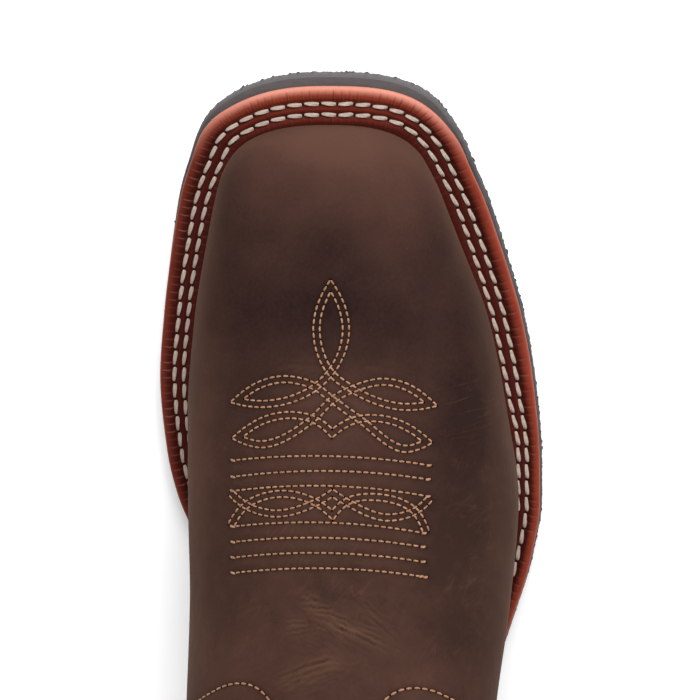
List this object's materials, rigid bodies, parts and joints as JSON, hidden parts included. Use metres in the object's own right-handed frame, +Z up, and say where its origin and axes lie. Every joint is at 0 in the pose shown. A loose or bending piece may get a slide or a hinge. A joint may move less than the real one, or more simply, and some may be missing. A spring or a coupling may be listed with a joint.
{
  "type": "western boot",
  "caption": "Pull-on western boot for the right foot: broad square toe, welted rubber sole, stacked heel and a leather shaft with a scalloped collar and pull straps.",
  "frame": {"origin": "on the floor, in the middle of the boot's bounding box", "axes": "+Y from heel to toe, +X to the outer side of the foot, +Z up"},
  "size_m": [0.114, 0.3156, 0.3373],
  "materials": {
    "brown_leather": "oiled pull-up",
    "welt_leather": "waxed edge",
    "charcoal_rubber": "matte",
    "dark_stack": "stained stack",
    "tan_lining": "natural"
  },
  "bodies": {
    "root": {"outsole": "charcoal_rubber", "welt": "welt_leather", "heel_stack": "dark_stack", "heel_cap": "charcoal_rubber", "insole": "tan_lining", "upper": "brown_leather", "vamp": "brown_leather", "heel_counter": "brown_leather", "collar_binding": "brown_leather", "pull_strap_inner": "brown_leather", "pull_strap_outer": "brown_leather", "side_seam_inner": "brown_leather", "side_seam_outer": "brown_leather"}
  },
  "joints": []
}
